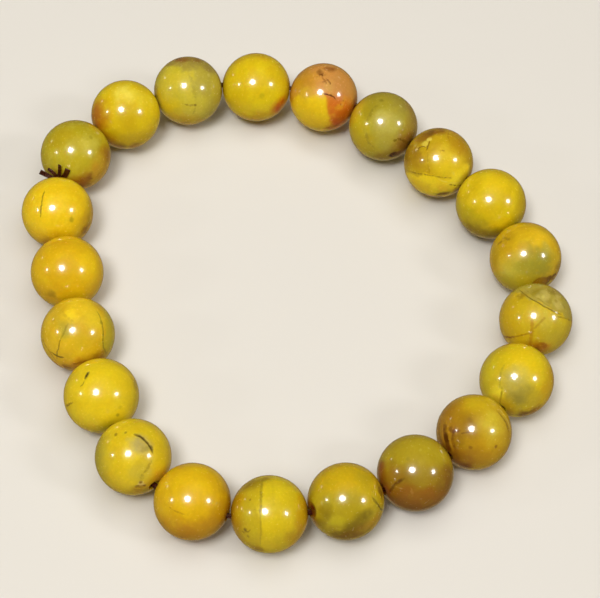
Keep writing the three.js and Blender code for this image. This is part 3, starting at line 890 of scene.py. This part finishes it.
# Elastic cord
# One length of flat maroon elastic, made of fine rubber filaments, runs twice through all the beads. It is
# pulled tight into a small knot between two of them and cut off, which leaves four flat ends.
MAROON = "#40110a"
DARK_MAROON = "#1e0703"
RED_GLINT = "#ffb4a0"
STRAND_WIDTH = 0.00062
STRAND_THICKNESS = 0.00022
STRANDS_APART = 0.00026
FILAMENTS = 7
FILAMENT_GRAIN = 5000.0  # streaks of colour to the metre
FILAMENT_RIDGE = 0.12  # how far each groove between filaments goes in, as a share of the thickness
POINTS_PER_FILAMENT = 6
POINTS_PER_BEAD = 4
TWIST_PER_BEAD = math.radians(75)
KNOT_AFTER = 18
KNOT_RADIUS = 0.00055
KNOT_STRAND = 0.00014
KNOT_STEPS = 96
CUT_ENDS = [  # how far each heads outward and up at first, then its tip outward, up and onward
    {"bend": (0.0007, 0.0009), "tip": (0.00248, 0.0, 0.0010), "width": 0.00062, "twist": 60},
    {"bend": (-0.0003, 0.0016), "tip": (0.0012, 0.0016, 0.0006), "width": 0.00050, "twist": 15},
    {"bend": (-0.0005, 0.0014), "tip": (-0.0004, 0.0030, 0.0006), "width": 0.00042, "twist": 0},
    {"bend": (-0.0011, 0.0009), "tip": (-0.00145, 0.0025, 0.0005), "width": 0.00068, "twist": 0},
]
END_THICKNESS = 0.00016
END_RIDGE = 0.2  # the same, where the elastic is cut and its filaments spread
END_STEPS = 12
END_CUTS_PER_FILAMENT = 4
CUT_SLANT = 0.04  # of an end's length, from one side of the cut to the other
CUT_RAGGEDNESS = 0.015
CUT_WAVES = 23  # in radians across the cut
CORD_SEAM_WIDTH = 1e-7  # points closer than this, in metres, are one


def hole_mouth(node, other):
    """The middle of the mouth of a bead's hole that faces another bead."""
    way = hole_direction(node)
    if way.dot(middle_of(other) - middle_of(node)) < 0:
        way = -way
    return middle_of(node) + way * math.sqrt(radius_of(node) ** 2 - HOLE_RADIUS ** 2)


def gap_after(k):
    """The middle of the gap after a bead, where the two holes face each other."""
    before, after = BEADS[k % len(BEADS)], BEADS[(k + 1) % len(BEADS)]
    return (hole_mouth(before, after) + hole_mouth(after, before)) / 2


def filled_out(value, power):
    """A sine or cosine with a power below 1, which fills a circle out towards a rounded oblong."""
    return math.copysign(abs(value) ** power, value)


def flat_strand_section(side):
    """The cut face of one strand, with a ridge for each filament on its two flat sides."""
    outline = bpy.data.curves.new("strand_section", "CURVE")
    steps = FILAMENTS * POINTS_PER_FILAMENT
    spline = outline.splines.new("POLY")
    spline.points.add(steps - 1)
    for step, point in enumerate(spline.points):
        angle = 2 * math.pi * step / steps
        across = filled_out(math.cos(angle), power=0.7) * STRAND_WIDTH / 2
        wave = math.cos(2 * math.pi * FILAMENTS * across / STRAND_WIDTH)
        ridge = 1 - FILAMENT_RIDGE + FILAMENT_RIDGE * wave
        thick = filled_out(math.sin(angle), power=0.5) * STRAND_THICKNESS / 2 * ridge
        point.co = (across, thick + side * STRANDS_APART / 2, 0, 1)
    spline.use_cyclic_u = True
    section = bpy.data.objects.new("strand_section", outline)
    bpy.context.scene.collection.objects.link(section)
    return section


def mesh_of(curve):
    """A curve as a plain mesh with its seams closed. The curve and its section are then thrown away."""
    holder = bpy.data.objects.new("swept", curve)
    bpy.context.scene.collection.objects.link(holder)
    bpy.context.view_layer.update()
    mesh = bpy.data.meshes.new_from_object(holder.evaluated_get(bpy.context.evaluated_depsgraph_get()))
    bpy.data.objects.remove(holder)
    if curve.bevel_object:
        bpy.data.objects.remove(curve.bevel_object)
    return mesh


def threaded_strand(side):
    """One strand, straight through every bead and turning in the gaps, twisted lightly with the other."""
    curve = bpy.data.curves.new("strand", "CURVE")
    curve.dimensions = "3D"
    curve.twist_mode = "Z_UP"
    curve.bevel_mode = "OBJECT"
    curve.bevel_object = flat_strand_section(side)
    curve.use_fill_caps = True
    points = []
    for step in range(1, len(BEADS) + 1):
        k = KNOT_AFTER + step
        before, after = gap_after(k - 1), gap_after(k)
        middle = middle_of(BEADS[k % len(BEADS)])
        points += [before, before.lerp(middle, 0.5), middle, middle.lerp(after, 0.5)]
    points.append(gap_after(KNOT_AFTER))
    spline = curve.splines.new("BEZIER")
    spline.bezier_points.add(len(points) - 1)
    spline.resolution_u = 6
    for number, (place, point) in enumerate(zip(points, spline.bezier_points)):
        point.co = place
        point.handle_left_type = point.handle_right_type = "AUTO"
        point.tilt = number / POINTS_PER_BEAD * TWIST_PER_BEAD
    return mesh_of(curve)


def knot_mesh(middle, along):
    """A tight overhand knot, its turns wound about the cord."""
    curve = bpy.data.curves.new("knot", "CURVE")
    curve.dimensions = "3D"
    curve.bevel_depth = KNOT_STRAND
    curve.bevel_resolution = 4
    spline = curve.splines.new("POLY")
    spline.points.add(KNOT_STEPS - 1)
    widest = 3  # how far the loop below reaches from its middle
    size = (KNOT_RADIUS - KNOT_STRAND) / widest
    turn = along.to_track_quat("Z", "Y")
    for step, point in enumerate(spline.points):
        t = 2 * math.pi * step / KNOT_STEPS
        loop = Vector((
            math.sin(t) + 2 * math.sin(2 * t),
            math.cos(t) - 2 * math.cos(2 * t),
            -math.sin(3 * t),
        ))
        point.co = (*(middle + turn @ (loop * size)), 1)
    spline.use_cyclic_u = True
    return mesh_of(curve)


def cut_end_mesh(end, knot, outward, onward):
    """A flat end, which rises out of the narrow gap, bends away from the knot and may twist."""
    shape = bmesh.new()
    half = 0.5  # of the cube, which is then drawn out into the end
    bmesh.ops.create_cube(shape, size=2 * half)
    along = [edge for edge in shape.edges if abs(edge.verts[0].co.z - edge.verts[1].co.z) > half]
    bmesh.ops.subdivide_edges(shape, edges=along, cuts=END_STEPS)
    wide = [edge for edge in shape.edges if abs(edge.verts[0].co.x - edge.verts[1].co.x) > half]
    bmesh.ops.subdivide_edges(shape, edges=wide, cuts=FILAMENTS * END_CUTS_PER_FILAMENT - 1)
    up = Vector((0, 0, 1))
    bend = outward * end["bend"][0] + up * end["bend"][1]
    tip = outward * end["tip"][0] + up * end["tip"][1] + onward * end["tip"][2]
    for vertex in shape.verts:
        x, y, z = vertex.co
        share = (z + half) * (1 + CUT_SLANT * x + CUT_RAGGEDNESS * math.sin(CUT_WAVES * x))
        heading = (bend * (1 - 2 * share) + tip * share).normalized()
        across = heading.cross(onward).normalized()
        across.rotate(Quaternion(heading, math.radians(end["twist"]) * share))
        ridge = 1 - END_RIDGE + END_RIDGE * math.cos(2 * math.pi * FILAMENTS * x)
        vertex.co = (
            knot + bend * 2 * share * (1 - share) + tip * share ** 2
            + across * x * end["width"] + heading.cross(across) * y * END_THICKNESS * ridge
        )
    mesh = bpy.data.meshes.new("cut_end")
    shape.to_mesh(mesh)
    shape.free()
    return mesh


def rubber_filaments():
    """Dyed rubber filaments under a thin gloss: nearly black, with a red glint where a lamp catches them."""
    material = bpy.data.materials.new("dyed rubber filaments")
    material.use_nodes = True
    tree = material.node_tree
    tree.nodes.clear()
    place = add(tree, "TexCoord", {})
    streaks = add(tree, "TexNoise", {
        "Vector": place.outputs["Object"], "Scale": FILAMENT_GRAIN, "Detail": 3.0,
    })
    colour = blend(tree, linear(DARK_MAROON), linear(MAROON), streaks.outputs["Fac"])
    rough = add(tree, "MapRange", {"Value": streaks.outputs["Fac"], "To Min": 0.2, "To Max": 0.36})
    surface = add(tree, "BsdfPrincipled", {
        "Base Color": colour,
        "Roughness": rough.outputs[0],
        "IOR": 1.5,
        "Specular IOR Level": 1.0,
        "Specular Tint": linear(RED_GLINT),
        "Coat Weight": 0.45,
        "Coat Roughness": 0.12,
    })
    add(tree, "OutputMaterial", {"Surface": surface.outputs[0]})
    return material


knot = gap_after(KNOT_AFTER)
onward = (middle_of(BEADS[KNOT_AFTER + 1]) - middle_of(BEADS[KNOT_AFTER])).normalized()
outward = Vector((-onward.y, onward.x, 0))
lengths = [threaded_strand(-1), threaded_strand(1), knot_mesh(knot, onward)]
lengths += [cut_end_mesh(end, knot, outward, onward) for end in CUT_ENDS]
whole = bmesh.new()
for length in lengths:
    whole.from_mesh(length)
bmesh.ops.remove_doubles(whole, verts=whole.verts, dist=CORD_SEAM_WIDTH)
bmesh.ops.recalc_face_normals(whole, faces=whole.faces)
cord_mesh = bpy.data.meshes.new("elastic_cord")
whole.to_mesh(cord_mesh)
whole.free()
cord_mesh.materials.clear()
cord_mesh.materials.append(rubber_filaments())
cord_mesh.shade_smooth()
elastic = bpy.data.objects.new("flat_elastic", cord_mesh)
bpy.context.scene.collection.objects.link(elastic)
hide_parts("elastic_cord")
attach(elastic, "root")

# Table and light
# A plain pale tabletop in matt paint, a large soft light overhead that lights it evenly, and four round
# lamps, which the polish of the beads mirrors as small bright glints.
TABLE = "#d6d2ca"
TABLE_REACH = 3  # metres from its middle to an edge
table = bmesh.new()
bmesh.ops.create_grid(table, x_segments=1, y_segments=1, size=TABLE_REACH)
table_mesh = bpy.data.meshes.new("table")
table.to_mesh(table_mesh)
table.free()
tabletop = bpy.data.objects.new("table", table_mesh)
bpy.context.scene.collection.objects.link(tabletop)
painted = bpy.data.materials.new("matt painted tabletop")
painted.use_nodes = True
painted.node_tree.nodes.clear()
paint = add(painted.node_tree, "BsdfPrincipled", {"Base Color": linear(TABLE), "Roughness": 0.7})
add(painted.node_tree, "OutputMaterial", {"Surface": paint.outputs[0]})
table_mesh.materials.append(painted)


def lamp(name, direction, distance, radius, power):
    """A round lamp in a direction given as right, up and towards the camera, aimed at the bracelet."""
    light = bpy.data.lights.new(name, "AREA")
    light.shape = "DISK"
    light.size = radius * 2
    light.energy = power
    holder = bpy.data.objects.new(name, light)
    toward = camera.matrix_world.to_3x3() @ Vector(direction).normalized()
    holder.location = AIM + toward * distance
    holder.rotation_euler = toward.to_track_quat("Z", "Y").to_euler()
    bpy.context.scene.collection.objects.link(holder)
    return holder


soft = lamp("soft_overhead", (0.1, 0.6, 1.0), distance=1.0, radius=0.6, power=7.1)
soft.visible_glossy = False
lamp("main_lamp", (-0.197, 0.222, 0.955), distance=0.96, radius=0.155, power=4.6)
lamp("right_lamp", (0.791, 0.102, 0.603), distance=3.2, radius=0.33, power=18)
lamp("left_lamp", (-0.860, 0.103, 0.500), distance=1.4, radius=0.075, power=1.1)
lamp("far_left_lamp", (-0.864, 0.494, -0.099), distance=1.5, radius=0.06, power=0.13)
tabletop.visible_glossy = False

# The lamps light the tabletop, but the polish mirrors only a faint warm glow in its place. Bright mirror
# images of it would wash out the lower sides of the beads, and none would leave a dark line round them.
WARM_GLOW = "#ffe0a4"

world = bpy.data.worlds.new("soft_room")
bpy.context.scene.world = world
world.use_nodes = True
surroundings = world.node_tree
room = surroundings.nodes["Background"]
room.inputs["Color"].default_value = linear(WARM_GLOW)
direction = add(surroundings, "TexCoord", {}).outputs["Generated"]
away = -camera.matrix_world.to_3x3().col[2]
below = add(surroundings, "VectorMath", {0: direction, 1: away}, operation="DOT_PRODUCT")
glow = add(surroundings, "MapRange", {
    "Value": below.outputs["Value"], "From Min": 0.6, "From Max": 0.95, "To Min": 0.12, "To Max": 0.28,
}, interpolation_type="SMOOTHSTEP")
surroundings.links.new(glow.outputs[0], room.inputs["Strength"])
bpy.context.scene.view_settings.view_transform = "Standard"
